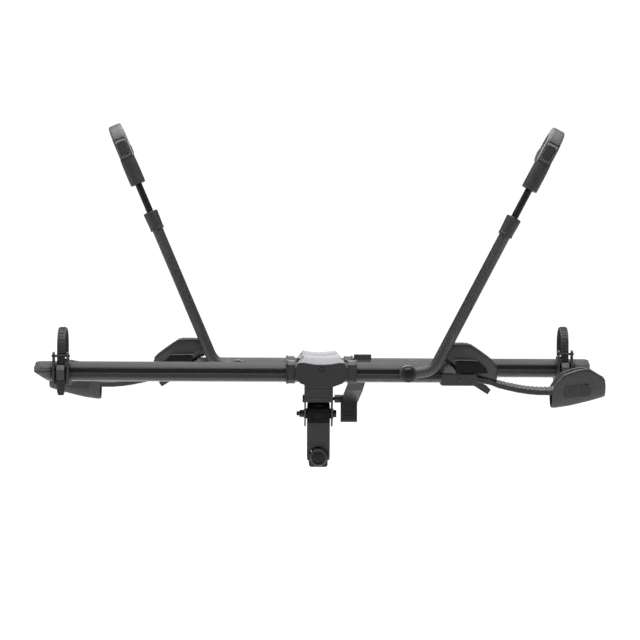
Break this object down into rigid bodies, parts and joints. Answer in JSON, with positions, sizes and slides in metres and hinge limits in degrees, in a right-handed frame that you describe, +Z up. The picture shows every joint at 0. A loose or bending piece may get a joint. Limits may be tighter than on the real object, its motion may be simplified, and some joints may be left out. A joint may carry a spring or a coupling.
{
  "type": "hitch mounted bike rack",
  "caption": "Platform rack on a hitch tongue: wheel trays on a tilting spine, with swinging hook arms, wheel cradles and ladder straps.",
  "frame": {"origin": "centre of the hitch pin hole, on the axis of the hitch tongue", "axes": "+X to the right seen from behind the vehicle, +Y towards the vehicle along the tongue, +Z up"},
  "size_m": [1.43, 0.789, 0.9105],
  "materials": {
    "powder_coated_steel": "satin black powder coat",
    "anodised_aluminium": "satin dark anodised",
    "textured_plastic": "fine moulded texture",
    "grey_plastic": "fine moulded texture, light and dark grey",
    "black_zinc": "black zinc plated steel",
    "nylon": "moulded nylon",
    "rubber": "moulded ladder strap"
  },
  "bodies": {
    "hitch_end": {"tongue_tube": "powder_coated_steel", "upright": "powder_coated_steel", "pivot_bush_left": "nylon", "pivot_bush_right": "nylon"},
    "knob": {"cam_knob": "textured_plastic", "draw_rod": "black_zinc"},
    "wedge": {"wedge_nut": "anodised_aluminium"},
    "shoe": {"clamp_shoe": "black_zinc"},
    "platform": {"pivot_bracket": "powder_coated_steel", "pivot_bolt": "black_zinc", "pivot_nut": "black_zinc", "spine_beam": "powder_coated_steel", "spine_end_cap": "textured_plastic", "outer_hub": "grey_plastic", "inner_hub": "grey_plastic", "outer_strap_tray": "anodised_aluminium", "outer_cradle_tray": "anodised_aluminium", "outer_tray_end_cap": "textured_plastic", "outer_strap_collar": "textured_plastic", "outer_cradle_collar": "textured_plastic", "outer_wheel_rail": "anodised_aluminium", "outer_cradle_sleeve": "powder_coated_steel", "outer_rail_end_bracket": "powder_coated_steel", "outer_inner_scoop": "textured_plastic", "outer_outer_scoop": "textured_plastic", "outer_arm_pivot_bolt": "black_zinc", "inner_strap_tray": "anodised_aluminium", "inner_cradle_tray": "anodised_aluminium", "inner_tray_end_cap": "textured_plastic", "inner_strap_collar": "textured_plastic", "inner_cradle_collar": "textured_plastic", "inner_wheel_rail": "anodised_aluminium", "inner_cradle_sleeve": "powder_coated_steel", "inner_rail_end_bracket": "powder_coated_steel", "inner_inner_scoop": "textured_plastic", "inner_outer_scoop": "textured_plastic", "inner_arm_pivot_bolt": "black_zinc"},
    "lever": {"release_lever": "textured_plastic", "lock_shaft": "black_zinc"},
    "outer_arm": {"outer_arm_tube": "powder_coated_steel", "outer_arm_collar": "textured_plastic"},
    "outer_hook_slide": {"outer_slide_rod": "black_zinc", "outer_hook": "textured_plastic"},
    "outer_button": {"outer_hook_button": "textured_plastic"},
    "outer_strap": {"outer_strap_carriage": "textured_plastic", "outer_strap_roller": "black_zinc", "outer_ladder_strap": "rubber"},
    "outer_pawl": {"outer_strap_pawl": "textured_plastic"},
    "inner_arm": {"inner_arm_tube": "powder_coated_steel", "inner_arm_collar": "textured_plastic"},
    "inner_hook_slide": {"inner_slide_rod": "black_zinc", "inner_hook": "textured_plastic"},
    "inner_button": {"inner_hook_button": "textured_plastic"},
    "inner_strap": {"inner_strap_carriage": "textured_plastic", "inner_strap_roller": "black_zinc", "inner_ladder_strap": "rubber"},
    "inner_pawl": {"inner_strap_pawl": "textured_plastic"}
  },
  "joints": [
    {"name": "platform_tilt", "type": "hinge", "parent": "hitch_end", "child": "platform", "pos_m": [0, -0.235, 0.117], "axis": [1, 0, 0], "range_deg": [-90, 35]},
    {"name": "knob_turn", "type": "hinge", "parent": "hitch_end", "child": "knob", "pos_m": [0, -0.26, 0.003], "axis": [0, 1, 0], "range_deg": [0, 720]},
    {"name": "wedge_draw", "type": "slide", "parent": "hitch_end", "child": "wedge", "axis": [0, -1, 0], "range_m": [0, 0.0051]},
    {"name": "shoe_push", "type": "slide", "parent": "hitch_end", "child": "shoe", "axis": [0.7071, 0, 0.7071], "range_m": [0, 0.0031]},
    {"name": "lever_release", "type": "hinge", "parent": "platform", "child": "lever", "pos_m": [0, -0.235, 0.157], "axis": [1, 0, 0], "range_deg": [0, 18], "stiffness_Nm_per_rad": 4, "springref_deg": -20.05},
    {"name": "outer_arm_swing", "type": "hinge", "parent": "platform", "child": "outer_arm", "pos_m": [0.214, -0.678, 0.245], "axis": [0, 1, 0], "range_deg": [-117.5, 50]},
    {"name": "outer_hook_extend", "type": "slide", "parent": "outer_arm", "child": "outer_hook_slide", "axis": [0.4617, 0, 0.887], "range_m": [-0.075, 0.09]},
    {"name": "outer_button_press", "type": "slide", "parent": "outer_hook_slide", "child": "outer_button", "axis": [0, 1, 0], "range_m": [0, 0.0035], "stiffness_N_per_m": 400, "springref_m": -0.003},
    {"name": "outer_strap_slide", "type": "slide", "parent": "platform", "child": "outer_strap", "axis": [1, 0, 0], "range_m": [-0.03, 0.3]},
    {"name": "outer_pawl_lift", "type": "hinge", "parent": "outer_strap", "child": "outer_pawl", "pos_m": [-0.645, -0.673, 0.259], "axis": [1, 0, 0], "range_deg": [-60, 0], "stiffness_Nm_per_rad": 0.05, "springref_deg": 17.19},
    {"name": "inner_arm_swing", "type": "hinge", "parent": "platform", "child": "inner_arm", "pos_m": [-0.214, -0.378, 0.245], "axis": [0, 1, 0], "range_deg": [-50, 113.2]},
    {"name": "inner_hook_extend", "type": "slide", "parent": "inner_arm", "child": "inner_hook_slide", "axis": [-0.3939, 0, 0.9191], "range_m": [-0.075, 0.09]},
    {"name": "inner_button_press", "type": "slide", "parent": "inner_hook_slide", "child": "inner_button", "axis": [0, 1, 0], "range_m": [0, 0.0035], "stiffness_N_per_m": 400, "springref_m": -0.003},
    {"name": "inner_strap_slide", "type": "slide", "parent": "platform", "child": "inner_strap", "axis": [1, 0, 0], "range_m": [-0.3, 0.03]},
    {"name": "inner_pawl_lift", "type": "hinge", "parent": "inner_strap", "child": "inner_pawl", "pos_m": [0.645, -0.373, 0.259], "axis": [1, 0, 0], "range_deg": [-60, 0], "stiffness_Nm_per_rad": 0.05, "springref_deg": 17.19}
  ],
  "couplings": [
    {"joint": "wedge_draw", "follows": "knob_turn", "m_per_rad": 0.0004},
    {"joint": "shoe_push", "follows": "knob_turn", "m_per_rad": 0.00024}
  ]
}
